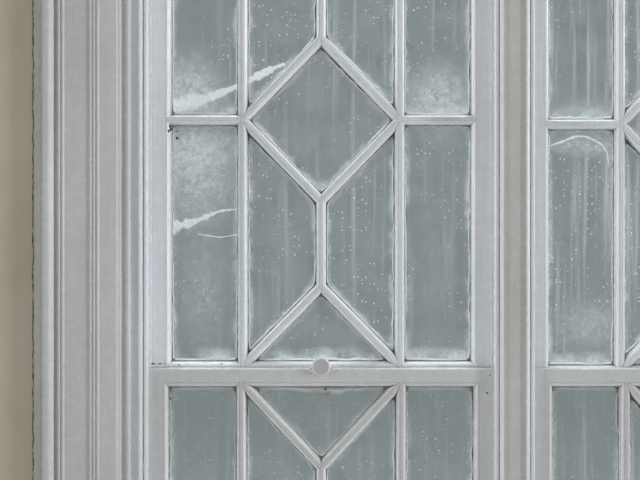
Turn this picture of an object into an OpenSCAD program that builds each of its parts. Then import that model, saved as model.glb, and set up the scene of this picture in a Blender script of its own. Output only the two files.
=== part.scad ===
// Canted bay window with two sash lights in front and one on each side, cut off at the house wall.
// Millimetres, +Z up. The room is at -Y and outdoors at +Y. z = 0 is the ground.

/* [Lights] */
// Clear width of a light between its staff beads
light_w = 708; // [560:2:900]
// Width of the mullion between the two front lights, from bead to bead
mullion_w = 82; // [70:1:140]
// Clearance around a sash in its frame
sash_gap = 2; // [1:0.5:4]
// How far the right-hand upper sash has dropped
dropped = 9; // [0:1:9]

/* [Sashes] */
// Thickness of a sash
sash_t = 45; // [38:1:60]
// Width of a stile that shows beside its bead
stile_w = 40; // [32:1:60]
// Height of the top rail that shows under its bead
top_rail_h = 50; // [40:1:80]
// Height of the bottom rail that shows above its bead
bottom_rail_h = 85; // [60:1:120]
// Height of the lower sash's meeting rail
meeting_rail_h = 36.5; // [30:0.5:50]
// Width of the finger hollow in the lower meeting rail, under the knob
scoop_w = 62; // [40:1:90]
// Depth of that hollow
scoop_h = 11; // [6:0.5:16]
// How far the upper sash's meeting rail stands above the lower one's
meeting_rise = 11; // [8:0.5:16]
// Width of the moulding round the glass
mould_w = 10; // [8:0.5:14]
// Depth of the moulding round the glass
mould_d = 13; // [9:0.5:18]

/* [Lattice] */
// Width of a glazing bar
bar_w = 21; // [17:0.5:28]
// Width of the flat nose of a glazing bar
nose_w = 3.6; // [2:0.2:6]
// Width of a glazing bar behind the glass
fin_w = 6; // [4:0.5:9]
// How much thinner a slanting bar is on each face
slant_shy = 0.3; // [0.2:0.1:0.6]
// Distance from the middle of a light to each upright bar
upright_x = 164.4; // [130:0.2:200]
// Half the height of the diamond
diamond_h = 169.5; // [120:0.5:220]
// Length of the bar between the diamond and a fork
link_h = 179.5; // [100:0.5:220]
// Height of the fork in an upper sash
upper_fork_h = 157; // [110:1:190]
// Height of the fork in a lower sash
lower_fork_h = 166; // [110:1:190]
// Depth from the sash's face to the glass
glass_in = 28; // [20:1:32]
// Thickness of the glass
glass_t = 3; // [2:0.5:5]
// Room round a pane in its rebate
glass_gap = 1; // [0.5:0.5:2]

/* [Box frame] */
// How far the staff and parting beads lap over a sash
bead_lap = 10; // [7:1:14]
// Width of the staff bead
bead_w = 18; // [15:1:26]
// How far the staff bead stands proud of the lining
bead_proud = 7; // [3:0.5:12]
// Thickness of the inner and outer linings
lining_t = 20; // [15:1:28]
// Thickness of a pulley stile
pulley_t = 22; // [18:1:30]
// Thickness of the parting bead
parting_t = 9; // [7:1:14]
// Width of a weight box, from the edge of the light to its back
box_w = 112; // [90:1:150]
// Thickness of the back lining of a weight box
back_t = 12; // [9:1:16]
// Thickness of the timber sill
timber_sill_h = 60; // [45:1:90]
// How far the timber sill runs out past the outer lining
timber_sill_out = 61; // [40:1:75]

/* [Architrave] */
// Distance from the edge of the light to the architrave
architrave_in = 34; // [26:1:50]
// Width of the architrave
architrave_w = 192; // [160:1:240]
// Thickness of its flat faces
architrave_t = 19; // [14:0.5:28]
// How far its back band stands out from the plaster
back_band_t = 36; // [28:1:50]
// How far the mitres of beads and architraves have opened
mitre_gap = 0.4; // [0.2:0.1:1]

/* [Walls] */
// Thickness of the walls
wall_t = 240; // [225:5:360]
// Angle that the sides turn back by
cant = 45; // [35:1:60]
// Plaster beside the front architrave
front_margin = 120; // [40:1:300]
// Plaster beside the side architraves
side_margin = 60; // [50:1:200]
// How far the outer reveal stands back from the edge of a light
reveal_u = 25; // [12:1:60]
// Height of the wall under the stone sill
base_h = 450; // [300:10:900]
// Height of the plinth
plinth_h = 230; // [100:10:280]
// How far the plinth stands out
plinth_out = 25; // [10:1:50]
// Thickness of the stone sill
stone_sill_h = 75; // [50:1:120]
// How far the stone sill stands out
stone_sill_out = 50; // [25:1:80]

/* [Top] */
// Plaster between the architrave and the ceiling
frieze_h = 60; // [30:1:300]
// Thickness of the ceiling
ceiling_t = 20; // [15:1:40]
// Depth of the roof space above the ceiling
roof_space_h = 110; // [60:5:240]
// Height of the cornice
cornice_h = 150; // [100:5:240]
// How far the cornice stands out
cornice_out = 110; // [70:5:200]
// How far the roof runs out past the cornice
roof_drip = 12; // [5:1:30]
// Thickness of the roof deck at its front edge
roof_t = 30; // [20:1:50]
// Fall of the roof from back to front
roof_fall = 35; // [15:1:80]
// Diameter of a lead roll
roll_d = 44; // [30:1:60]
// Distance between lead rolls
roll_pitch = 600; // [400:10:800]

/* [Inside] */
// Thickness of the window board
board_t = 30; // [20:1:45]
// How far the window board stands into the room
board_out = 55; // [40:1:120]

/* [Fastener] */
// Diameter of the knob
knob_d = 38; // [28:1:46]
// Thickness of the knob
knob_t = 13; // [9:1:20]
// Diameter of the screw behind the knob
screw_d = 9; // [6:0.5:14]
// Height of the screw above the meeting rail
screw_h = 6.5; // [5:0.5:12]

/* [Hidden] */
$fn = 48;

// Depths, from the plaster's face outwards
lower_face_y = lining_t;
parting_y = lower_face_y + sash_t;
upper_face_y = parting_y + parting_t;
outer_lining_y = upper_face_y + sash_t;
frame_d = outer_lining_y + lining_t;
// The back edge of the course that the timber sill is bedded on
sill_bed_y = outer_lining_y - lining_t;
// How far an outer lining laps past the edge of a light
lining_lap = 2;
// How far a meeting rail reaches towards the other sash
lug = parting_t / 2 - 0.5;
// How far a bearer stands back from the plaster
bearer_back = 1;
// How far the putty outside the glass stays back from the edge of a bar
putty_edge = 1;

// Heights, from the ground up
course_z = base_h + stone_sill_h;
seat_z = course_z + timber_sill_h;
tread_h = 7;
bed_z = seat_z - tread_h;
function glass_h(fork_h) = 2 * (diamond_h + link_h + fork_h);
lower_foot_h = bottom_rail_h + bead_lap;
lower_sash_h = lower_foot_h + glass_h(lower_fork_h) + meeting_rail_h;
upper_rail_h = meeting_rail_h + meeting_rise;
hidden_edge = bead_lap - sash_gap;
upper_sash_h = upper_rail_h + glass_h(upper_fork_h) + top_rail_h + hidden_edge;
upper_z = seat_z + lower_sash_h - meeting_rail_h;
head_z = upper_z + upper_sash_h + sash_gap;
light_bottom = seat_z + bead_lap;
light_top = head_z - bead_lap;
inner_head_z = light_top + box_w;
outer_head_z = light_top + reveal_u;
ceiling_z = light_top + architrave_in + architrave_w + frieze_h;
wall_top = ceiling_z + ceiling_t + roof_space_h;

// Plan of the plaster's face
pitch = light_w + mullion_w;
front_half = mullion_w / 2 + light_w;
reach = architrave_in + architrave_w;
inner_half = front_half + reach + front_margin;
side_len = light_w + 2 * (reach + side_margin);
inner_depth = side_len * sin(cant);
roof_out = cornice_out + roof_drip;
total_depth = inner_depth + wall_t + roof_out;
shift_y = -total_depth / 2;
overall = 2 * path(wall_t + roof_out)[3][0];

// The four corners of the bay's plan, at a distance outwards from the plaster's face
function path(d) = let (
    y = inner_depth + d,
    x = inner_half + d * tan(cant / 2),
    rear = x + y / tan(cant)
) [[-rear, 0], [-x, y], [x, y], [rear, 0]];

function flip(points) = [for (i = [len(points) - 1:-1:0]) points[i]];

// A point of the right-hand side wall, along the wall from its middle and outwards from the plaster
function side_point(x, d) = let (mid = (path(0)[2] + path(0)[3]) / 2)
    [mid[0] + x * cos(cant) + d * sin(cant), mid[1] - x * sin(cant) + d * cos(cant)];

// Points of an arc round a centre
function arc(centre, rx, ry, a, b, steps) =
    [for (i = [0:steps]) let (t = a + (b - a) * i / steps)
        [centre[0] + rx * cos(t), centre[1] + ry * sin(t)]];

// All that lies behind a face on the three sides at once. The face is given from its foot to its head as
// distances outwards and heights, and its corners come out mitred.
module behind(face) intersection_for(i = [0:2]) {
    a = path(0)[i];
    b = path(0)[i + 1];
    translate([a[0], a[1], 0]) rotate([0, 0, atan2(b[1] - a[1], b[0] - a[0])]) translate([-overall, 0, 0])
        rotate([90, 0, 90]) linear_extrude(norm(b - a) + 2 * overall)
        polygon(concat([[-overall, face[0][1]]], face, [[-overall, face[len(face) - 1][1]]]));
}

// The upright face at a distance outwards that cuts right through what is built between two heights
function through(d, bottom, top) = [[d, bottom - wall_t], [d, top + wall_t]];

// Cuts a run off where the bay meets the house wall
module off_house_wall() intersection() {
    children();
    translate([-overall, 0, -wall_t]) cube([2 * overall, total_depth + wall_t, wall_top + 2 * wall_t]);
}

module masonry() color([0.76, 0.72, 0.63]) children();
module dressed_stone() color([0.72, 0.70, 0.65]) children();
module painted() color([0.88, 0.88, 0.86]) children();
module plaster() color([0.80, 0.76, 0.68]) children();
module lead() color([0.45, 0.47, 0.50]) children();
module pane() color([0.75, 0.85, 0.88, 0.5]) children();

// Walls

module base_wall() masonry() off_house_wall() difference() {
    behind([
        [wall_t + plinth_out, 0], [wall_t + plinth_out, plinth_h], [wall_t, plinth_h + plinth_out],
        [wall_t, base_h], [sill_bed_y, base_h], [sill_bed_y, course_z]
    ]);
    behind(through(0, 0, course_z));
}

// A weathered top, and a throat cut underneath so that rain drips off
module stone_sill() dressed_stone() off_house_wall() difference() {
    out = wall_t + stone_sill_out;
    drop = stone_sill_h / 5;
    throat = 6;
    behind([[out, base_h], [out, course_z - drop], [wall_t, course_z]]);
    behind(through(sill_bed_y, base_h, course_z));
    difference() {
        behind([[out - 3 * throat, base_h - throat], [out - 3 * throat, base_h + throat]]);
        behind(through(out - 5 * throat, base_h, course_z));
    }
}

module on_side(side) {
    if (side > 0) children();
    else mirror([1, 0, 0]) children();
}

// A pier is rebated for the weight box: its inner part stands back from the light and runs up higher

// The pier at a front corner
module pier_front(side) masonry() on_side(side) {
    inner = [[front_half + box_w, inner_depth], [front_half + box_w, inner_depth + frame_d]];
    inner_side = [side_point(-light_w / 2 - box_w, frame_d), side_point(-light_w / 2 - box_w, 0)];
    outer = [[front_half + reveal_u, inner_depth + frame_d], [front_half + reveal_u, inner_depth + wall_t]];
    outer_side = [side_point(-light_w / 2 - reveal_u, wall_t), side_point(-light_w / 2 - reveal_u, frame_d)];
    corner = path(0)[2];
    upright(inner_head_z) polygon(concat(inner, [path(frame_d)[2]], inner_side, [corner]));
    upright(outer_head_z)
        polygon(concat(inner, outer, [path(wall_t)[2]], outer_side, inner_side, [corner]));
}

// The pier against the house wall
module pier_rear(side) masonry() on_side(side) {
    inner = [side_point(light_w / 2 + box_w, 0), side_point(light_w / 2 + box_w, frame_d)];
    outer = [side_point(light_w / 2 + reveal_u, frame_d), side_point(light_w / 2 + reveal_u, wall_t)];
    upright(inner_head_z) polygon(concat(inner, [path(frame_d)[3], path(0)[3]]));
    upright(outer_head_z) polygon(concat(inner, outer, [path(wall_t)[3], path(0)[3]]));
}

module upright(head) translate([0, 0, course_z]) linear_extrude(head - course_z) children();

// Its inner half is cut back over the weight boxes, like the piers
module ring_beam() masonry() off_house_wall() difference() {
    behind([[wall_t, outer_head_z], [wall_t, wall_top]]);
    behind(through(0, outer_head_z, wall_top));
    behind([[frame_d, outer_head_z - wall_t], [frame_d, inner_head_z]]);
}

module cornice() dressed_stone() off_house_wall() difference() {
    z = wall_top - cornice_h;
    u = cornice_out / 11;
    v = cornice_h / 15;
    behind(concat(
        [[wall_t + u, z]],
        arc([wall_t + 5 * u, z + 2 * v], 4 * u, 4 * v, 180, 90, 6),
        [[wall_t + 8 * u, z + 6 * v]],
        arc([wall_t + 8 * u, z + 12.5 * v], 1.5 * u, 2.5 * v, -90, 0, 4),
        arc([wall_t + 11 * u, z + 12.5 * v], 1.5 * u, 1.5 * v, 180, 90, 4),
        [[wall_t + 11 * u, wall_top]]
    ));
    behind(through(wall_t, z, wall_top));
}

// A lead flat that falls to the front, its sheets joined over round rolls
module roof() lead() {
    slope = atan(roof_fall / total_depth);
    half_w = path(wall_t + roof_out)[3][0];
    rolls = floor(half_w / roll_pitch - 0.5);
    intersection() {
        union() {
            rotate([90, 0, 90]) translate([0, 0, -half_w]) linear_extrude(2 * half_w)
                polygon([[0, wall_top], [total_depth, wall_top], [total_depth, wall_top + roof_t],
                         [0, wall_top + roof_t + roof_fall]]);
            for (i = [-rolls:rolls])
                translate([i * roll_pitch, 0, wall_top + roof_t + roof_fall]) rotate([-90 - slope, 0, 0])
                    rotate(90 + 180 / $fn) translate([0, 0, -roll_d])
                    cylinder(d = roll_d, h = total_depth + 2 * roll_d);
        }
        translate([0, 0, wall_top]) linear_extrude(roof_t + roof_fall + roll_d)
            polygon(path(wall_t + roof_out));
    }
}

module ceiling() plaster()
    translate([0, 0, ceiling_z]) linear_extrude(ceiling_t) polygon(path(0));

// The board with its rounded nosing, and at each window the bearer that it is let into
module window_board() painted() {
    nosing = board_t / 2;
    nose = nosing - board_out;
    off_house_wall() difference() {
        behind([[0, seat_z - board_t], [0, seat_z]]);
        behind(concat(
            [[nose, seat_z - 2 * board_t]],
            arc([nose, seat_z - nosing], nosing, nosing, 270, 90, 8),
            [[nose, seat_z + board_t]]
        ));
    }
    translate([0, inner_depth, 0]) board_bearer(front_half);
    for (side = [-1, 1]) at_side(side) board_bearer(light_w / 2);
}

module board_bearer(half) rotate([90, 0, 90]) translate([0, 0, -half - box_w])
    linear_extrude(2 * (half + box_w)) polygon([
        [bearer_back, course_z], [lining_t, course_z], [lining_t, seat_z], [-board_out / 4, seat_z],
        [-board_out / 4, seat_z - board_t], [bearer_back, seat_z - board_t]
    ]);

// Box frame

// A weight box beside the outermost light: the pulley stile and the back lining between the two linings
module jamb_box(side, half) painted() on_side(-side) translate([-half, 0, 0]) {
    for (board = [[-bead_lap - pulley_t, pulley_t], [-box_w, back_t]])
        translate([board[0], lining_t, bed_z])
            cube([board[1], sash_t + parting_t + sash_t + lining_t / 2, inner_head_z - bed_z]);
    translate([-box_w, 0, seat_z]) cube([box_w - bead_w, lining_t, inner_head_z - seat_z]);
    translate([-box_w, outer_lining_y, bed_z]) cube([box_w - bead_lap, lining_t, inner_head_z - bed_z]);
    translate([-bead_lap - pulley_t, outer_lining_y, bed_z])
        cube([bead_lap + pulley_t + lining_lap, lining_t, light_top - lining_lap - bed_z]);
}

module front_mullion() painted() translate([0, inner_depth, 0]) {
    core = mullion_w / 2 - bead_lap;
    flat = mullion_w / 2 - bead_w;
    outer = mullion_w / 2 + lining_lap;
    translate([-core, lining_t, bed_z]) cube([2 * core, frame_d - lining_t, head_z - bed_z]);
    translate([-flat, 0, seat_z]) cube([2 * flat, lining_t, light_top + bead_w - seat_z]);
    translate([-outer, outer_lining_y, bed_z])
        cube([2 * outer, lining_t, light_top - lining_lap - bed_z]);
}

// The head over the lights between two weight boxes: soffit, inner lining and outer lining. A side frame's
// head is housed into its boxes.
module frame_head(half, housing) painted() {
    soffit = half + bead_lap + housing;
    inner = half + bead_w + housing;
    low = light_top - lining_lap;
    translate([-soffit, lining_t, head_z]) cube([2 * soffit, outer_lining_y - lining_t, pulley_t]);
    translate([-inner, 0, light_top + bead_w])
        cube([2 * inner, lining_t, inner_head_z - light_top - bead_w]);
    translate([-soffit, outer_lining_y, low]) cube([2 * soffit, lining_t, inner_head_z - low]);
}

module timber_sill(half) painted() {
    nib = half + reveal_u;
    out = frame_d + timber_sill_out;
    drip = 8;
    rotate([90, 0, 90]) translate([0, 0, -nib]) linear_extrude(2 * nib) polygon([
        [lining_t, course_z], [out - 3 * drip, course_z], [out - 3 * drip, course_z + drip],
        [out - 2 * drip, course_z + drip], [out - 2 * drip, course_z + drip / 2],
        [out, course_z + drip / 2], [out, bed_z - 2 * drip], [frame_d, bed_z], [lining_t, bed_z]
    ]);
    rotate([90, 0, 90]) translate([0, 0, -half - box_w]) linear_extrude(2 * (half + box_w))
        polygon([[lining_t, course_z], [frame_d, course_z], [frame_d, bed_z], [lining_t, bed_z]]);
}

// The raised tread that a lower sash shuts on, let into the sill
module tread() painted() translate([-light_w / 2 - bead_lap, lining_t, bed_z - tread_h])
    cube([light_w + 2 * bead_lap, sash_t, 2 * tread_h]);

// The staff bead: a rounded edge, a quirk and an ovolo up to the lining
function bead_profile() = let (r = 4, mid = bead_w / 2, quirk = 1) concat(
    [[0, lining_t], [0, r]],
    arc([r, r], r, r, 180, 270, 4),
    [[mid - quirk, 0], [mid, 2 * quirk], [mid + quirk, 0]],
    arc([bead_w - quirk, 0], mid - 2 * quirk, bead_proud, 180, 270, 5),
    [[bead_w, -bead_proud], [bead_w, lining_t]]
);

// A frame of four strips round a light, their mitres a little open, from a profile of distance from the
// light and depth
module mitred_frame(profile, bottom, top) {
    w = light_w / 2;
    far = light_w;
    middle = (bottom + top) / 2;
    half = (top - bottom) / 2;
    for (turn = [0:3]) {
        reach_out = turn % 2 == 0 ? half : w;
        across = (turn % 2 == 0 ? w : half) - mitre_gap / 2;
        translate([0, 0, middle]) rotate([0, 90 * turn, 0]) intersection() {
            translate([0, 0, reach_out]) rotate([90, 0, 90])
                translate([0, 0, -far - across]) linear_extrude(2 * (far + across))
                polygon([for (p = profile) [p[1], p[0]]]);
            translate([0, far, 0]) rotate([90, 0, 0]) linear_extrude(2 * far)
                polygon([[-across - far, reach_out + far], [-across, reach_out], [across, reach_out],
                         [across + far, reach_out + far]]);
        }
    }
}

module staff_bead() painted() intersection() {
    mitred_frame(bead_profile(), light_bottom, light_top);
    translate([-light_w, -bead_proud, seat_z])
        cube([2 * light_w, lining_t + bead_proud, light_top + light_w - seat_z]);
}

module parting_bead() painted() {
    w = light_w / 2;
    for (x = [-w - bead_lap, w])
        translate([x, parting_y, bed_z]) cube([bead_lap, parting_t, head_z - bed_z]);
    translate([-w, parting_y, light_top]) cube([2 * w, parting_t, bead_lap]);
}

// Architrave

// Its section, as distance from its inner edge and projection from the plaster: a bead and quirk,
// two coves up to a flat, three reeds, a second flat, two reeds, a hollow and the back band
function architrave_profile() = let (
    t = architrave_t,
    w = architrave_w,
    high = t + 2,
    bead_r = 4.5,
    quirk = t - 4 - 1.5 * bead_r,
    reed = 3.7,
    first_reeds = w - 127,
    step = w - 63,
    last_reeds = w - 56.3,
    hollow = w - 42,
    band = w - 39,
    band_r = 13,
    edge = w - 15,
    edge_r = 5
) concat(
    [[0, 0], [0, t - 8]],
    arc([bead_r, t - 8], bead_r, 5, 180, 0, 6),
    [[2 * bead_r + 1, quirk]],
    arc([12, t - 5], 7, 6, -90, -10, 4),
    arc([19, t], 8.5, 4, -80, 0, 3),
    [for (i = [0:2]) each arc([first_reeds + 2 * reed * i, t], reed, reed, 180, 0, 6)],
    [[step, t], [step, high]],
    [for (i = [0:1]) each arc([last_reeds + 2 * reed * i, high], reed, reed, 180, 0, 6)],
    arc([hollow, high], 3, 5, 180, 330, 5),
    arc([band + band_r, t - 1], band_r, back_band_t - t - 1, 180, 90, 5),
    [[band + band_r, back_band_t], [edge - edge_r, back_band_t]],
    arc([edge - edge_r, back_band_t - edge_r - 1], edge_r, edge_r + 1, 90, 0, 4),
    [[edge, t + edge_r], [w, t + edge_r], [w, 0]]
);

module architrave_section() polygon([for (p = architrave_profile()) [-architrave_in - p[0], -p[1]]]);

module architrave_leg(side, half) painted() on_side(-side) intersection() {
    translate([-half, 0, seat_z]) linear_extrude(light_top + 1.5 * reach - seat_z) architrave_section();
    translate([-half, lining_t, 0]) rotate([90, 0, 0]) linear_extrude(4 * back_band_t)
        polygon([[0, 0], [0, light_top - mitre_gap], [-2 * reach, light_top + 2 * reach - mitre_gap],
                 [-2 * reach, 0]]);
}

module architrave_head(half) painted() intersection() {
    translate([-half - 1.5 * reach, 0, light_top]) rotate([0, 90, 0])
        linear_extrude(2 * half + 3 * reach) architrave_section();
    translate([0, lining_t, 0]) rotate([90, 0, 0]) linear_extrude(4 * back_band_t) polygon([
        [-half, light_top], [half, light_top], [half + 2 * reach, light_top + 2 * reach],
        [-half - 2 * reach, light_top + 2 * reach]
    ]);
}

// The loose tongue that is glued across each mitre of a side architrave and holds it
module mitre_tongues(half) painted() {
    size = architrave_w / 4;
    middle = architrave_in + architrave_w / 2;
    for (side = [-1, 1])
        translate([side * (half + middle) - size / 2, -0.7 * architrave_t, light_top + middle - size / 2])
            cube([size, architrave_t / 3, size]);
}

// Sashes

// The moulded side of a glazing bar or rail: a fillet at the nose, a quarter round and an outer fillet
function flank(inner, outer) = arc([inner, mould_d], outer - inner - 0.8, mould_d - 1, -90, 0, 5);

// Half of a bar's section. A slanting bar is a little thinner, so that it is scribed under the others.
function bar_half(shy) = let (
    n = nose_w / 2,
    w = bar_w / 2,
    f = fin_w / 2,
    back = glass_in + glass_t + shy
) concat(
    [[n, shy]],
    [for (p = flank(n, w)) [p[0], p[1] + shy]],
    [[w, mould_d + shy], [w, glass_in - shy], [f, glass_in - shy], [f, back], [w - putty_edge, back],
     [f, sash_t - shy]]
);

function bar_section(shy) = concat(bar_half(shy), [for (p = flip(bar_half(shy))) [-p[0], p[1]]]);

// The section of a stile or rail, from its outer edge to the glass
function rail_section(width) = let (n = width - mould_w, r = width - (bar_w - fin_w) / 2) concat(
    [[0, sash_t], [0, 0], [n, 0]], flank(n, width),
    [[width, mould_d], [width, glass_in], [r, glass_in], [r, glass_in + glass_t],
     [width - putty_edge, glass_in + glass_t], [r, sash_t]]
);

module bar(a, b) {
    slants = a[0] != b[0] && a[1] != b[1];
    translate([a[0], 0, a[1]]) rotate([0, atan2(b[0] - a[0], b[1] - a[1]), 0])
        linear_extrude(norm(b - a)) polygon(bar_section(slants ? slant_shy : 0));
}

// The lines of the lattice, from the middle of the glass. They run on under the rail's moulding, and a
// slanting bar stops short of the middle of the upright that it meets, inside its nose.
function lattice(fork_h) = let (
    fork_z = diamond_h + link_h,
    end_z = fork_z + fork_h + mould_w,
    end_x = light_w / 2 - stile_w + 1.5 * mould_w,
    short = nose_w / 6,
    slant = [upright_x, diamond_h] / norm([upright_x, diamond_h]) * short,
    fork = [upright_x, end_z - fork_z] / norm([upright_x, end_z - fork_z]) * short
) concat(
    [for (x = [-1, 1]) [[x * upright_x, -end_z - mould_w / 2], [x * upright_x, end_z + mould_w / 2]]],
    [for (x = [-1, 1]) [[x * (upright_x - short), 0], [x * end_x, 0]]],
    [for (x = [-1, 1], z = [-1, 1])
        [[x * (upright_x - slant[0]), z * slant[1]], [x * slant[0], z * (diamond_h - slant[1])]]],
    [for (z = [-1, 1]) [[0, z * (diamond_h - short)], [0, z * (fork_z + short)]]],
    [for (x = [-1, 1], z = [-1, 1])
        [[x * fork[0], z * (fork_z + fork[1])], [x * (upright_x - fork[0]), z * (end_z - fork[1])]]]
);

// A sash: its face at y = 0, the middle of its width at x = 0, its foot at z = 0
module sash(fork_h, foot, head) {
    w = light_w / 2 + hidden_edge;
    height = foot + glass_h(fork_h) + head;
    for (side = [-1, 1])
        on_side(-side) translate([-w, 0, 0]) linear_extrude(height)
            polygon(rail_section(stile_w + hidden_edge));
    translate([-w, 0, 0]) rotate([0, 90, 0]) linear_extrude(2 * w)
        polygon([for (p = rail_section(foot)) [-p[0], p[1]]]);
    translate([-w, 0, height]) rotate([0, 90, 0]) linear_extrude(2 * w) polygon(rail_section(head));
    translate([0, 0, foot + glass_h(fork_h) / 2])
        for (line = lattice(fork_h)) bar(line[0], line[1]);
}

// The finger hollow is gouged on a slope, deepest at the rail's top, and stops short of the fastener's plate
module lower_sash() translate([0, lower_face_y, seat_z]) painted() difference() {
    scoop_lean = 50;
    sagitta = scoop_h * cos(scoop_lean);
    scoop_r = (scoop_w * scoop_w / 4 + sagitta * sagitta) / (2 * sagitta);
    union() {
        sash(lower_fork_h, lower_foot_h, meeting_rail_h);
        translate([-light_w / 2, sash_t / 2, lower_sash_h - meeting_rail_h + mould_w])
            cube([light_w, sash_t / 2 + lug, meeting_rail_h - mould_w]);
    }
    translate([0, 0, lower_sash_h - scoop_h]) rotate([scoop_lean - 90, 0, 0])
        translate([0, -scoop_r, -scoop_r]) cylinder(r = scoop_r, h = 2 * scoop_r);
}

module upper_sash(drop) translate([0, upper_face_y, upper_z - drop]) painted() {
    sash(upper_fork_h, upper_rail_h, top_rail_h + hidden_edge);
    translate([-light_w / 2, -lug, mould_w])
        cube([light_w, lug + sash_t / 2, meeting_rail_h - mould_w]);
}

// The panes of a sash, cut to fit between the bars' fins
module panes(fork_h) pane() {
    rebate = (bar_w - fin_w) / 2 - glass_gap;
    w = light_w - 2 * stile_w + 2 * rebate;
    h = glass_h(fork_h) + 2 * rebate;
    cut = fin_w / 2 + glass_gap;
    rotate([90, 0, 0]) translate([0, 0, -glass_t]) linear_extrude(glass_t) difference() {
        square([w, h], center = true);
        for (line = lattice(fork_h)) {
            run = line[1] - line[0];
            turn = atan2(run[1], run[0]);
            translate(line[0]) rotate(turn) translate([-cut, -cut])
                square([norm(run) + 2 * cut, 2 * cut]);
        }
    }
}

module lower_glass()
    translate([0, lower_face_y + glass_in, seat_z + lower_foot_h + glass_h(lower_fork_h) / 2])
    panes(lower_fork_h);

module upper_glass(drop)
    translate([0, upper_face_y + glass_in, upper_z - drop + upper_rail_h + glass_h(upper_fork_h) / 2])
    panes(upper_fork_h);

// A screw fastener on the lower sash's meeting rail. Its knob, towards the room, is widest behind its face.
module fastener() painted() translate([0, lower_face_y, seat_z + lower_sash_h]) {
    plate = [46, sash_t / 2, 3];
    block = [screw_d * 1.4, sash_t / 2 - 6, screw_h + screw_d * 0.7];
    for (slab = [plate, block])
        translate([-slab[0] / 2, (sash_t - slab[1]) / 2, 0]) cube(slab);
    clear = 2;
    edge_r = knob_d * 0.04;
    rim = knob_d * 0.07;
    translate([0, -clear - 1, screw_h]) rotate([-90, 0, 0])
        cylinder(d = screw_d, h = sash_t + parting_t / 2 + clear);
    translate([0, -clear - knob_t, screw_h]) rotate([-90, 0, 0]) rotate_extrude() polygon(concat(
        [[0, 0.8]],
        arc([knob_d * 0.44 - edge_r, edge_r], edge_r, edge_r, -90, -10, 4),
        arc([knob_d / 2 - rim, knob_t * 0.6], rim, rim, -10, 80, 5),
        [[knob_d * 0.22, knob_t], [0, knob_t]]
    ));
}

// The pieces of the front window

module at_front(side) translate([side * pitch / 2, inner_depth, 0]) children();

module front_jamb_boxes() translate([0, inner_depth, 0])
    for (side = [-1, 1]) jamb_box(side, front_half);

module front_frame_head() translate([0, inner_depth, 0]) frame_head(front_half, 0);

module front_timber_sill() {
    translate([0, inner_depth, 0]) timber_sill(front_half);
    for (side = [-1, 1]) at_front(side) tread();
}

module front_staff_beads() for (side = [-1, 1]) at_front(side) staff_bead();

module front_parting_beads() for (side = [-1, 1]) at_front(side) parting_bead();

module front_architrave_leg(side) translate([0, inner_depth, 0]) architrave_leg(side, front_half);

module front_architrave_head() translate([0, inner_depth, 0]) architrave_head(front_half);

// The pieces of a side window

module at_side(side) {
    mid = side_point(0, 0);
    translate([side * mid[0], mid[1], 0]) rotate([0, 0, -side * cant]) children();
}

module side_frame(side) at_side(side) {
    for (x = [-1, 1]) jamb_box(x, light_w / 2);
    frame_head(light_w / 2, pulley_t / 2);
}

module side_timber_sill(side) at_side(side) {
    timber_sill(light_w / 2);
    tread();
}

module side_beads(side) at_side(side) {
    staff_bead();
    parting_bead();
}

module side_architrave(side) at_side(side) {
    for (x = [-1, 1]) architrave_leg(x, light_w / 2);
    architrave_head(light_w / 2);
    mitre_tongues(light_w / 2);
}

module side_glass(side) at_side(side) {
    upper_glass(0);
    lower_glass();
}

module in_place() translate([0, shift_y, 0]) children();

in_place() base_wall();
in_place() stone_sill();
in_place() pier_front(-1);  // pier_front_left
in_place() pier_front(1);  // pier_front_right
in_place() pier_rear(-1);  // pier_rear_left
in_place() pier_rear(1);  // pier_rear_right
in_place() ring_beam();
in_place() cornice();
in_place() roof();
in_place() ceiling();
in_place() window_board();
in_place() front_jamb_boxes();
in_place() front_mullion();
in_place() front_frame_head();
in_place() front_timber_sill();
in_place() front_staff_beads();
in_place() front_parting_beads();
in_place() front_architrave_leg(-1);  // front_architrave_left
in_place() front_architrave_leg(1);  // front_architrave_right
in_place() front_architrave_head();
in_place() at_front(-1) upper_sash(0);  // front_left_upper_sash
in_place() at_front(-1) lower_sash();  // front_left_lower_sash
in_place() at_front(-1) upper_glass(0);  // front_left_upper_glass
in_place() at_front(-1) lower_glass();  // front_left_lower_glass
in_place() at_front(-1) fastener();  // front_left_fastener
in_place() at_front(1) upper_sash(dropped);  // front_right_upper_sash
in_place() at_front(1) lower_sash();  // front_right_lower_sash
in_place() at_front(1) upper_glass(dropped);  // front_right_upper_glass
in_place() at_front(1) lower_glass();  // front_right_lower_glass
in_place() at_front(1) fastener();  // front_right_fastener
in_place() side_frame(-1);  // side_left_frame
in_place() side_timber_sill(-1);  // side_left_timber_sill
in_place() side_beads(-1);  // side_left_beads
in_place() side_architrave(-1);  // side_left_architrave
in_place() at_side(-1) upper_sash(0);  // side_left_upper_sash
in_place() at_side(-1) lower_sash();  // side_left_lower_sash
in_place() side_glass(-1);  // side_left_glass
in_place() at_side(-1) fastener();  // side_left_fastener
in_place() side_frame(1);  // side_right_frame
in_place() side_timber_sill(1);  // side_right_timber_sill
in_place() side_beads(1);  // side_right_beads
in_place() side_architrave(1);  // side_right_architrave
in_place() at_side(1) upper_sash(0);  // side_right_upper_sash
in_place() at_side(1) lower_sash();  // side_right_lower_sash
in_place() side_glass(1);  // side_right_glass
in_place() at_side(1) fastener();  // side_right_fastener
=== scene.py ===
import math

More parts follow.
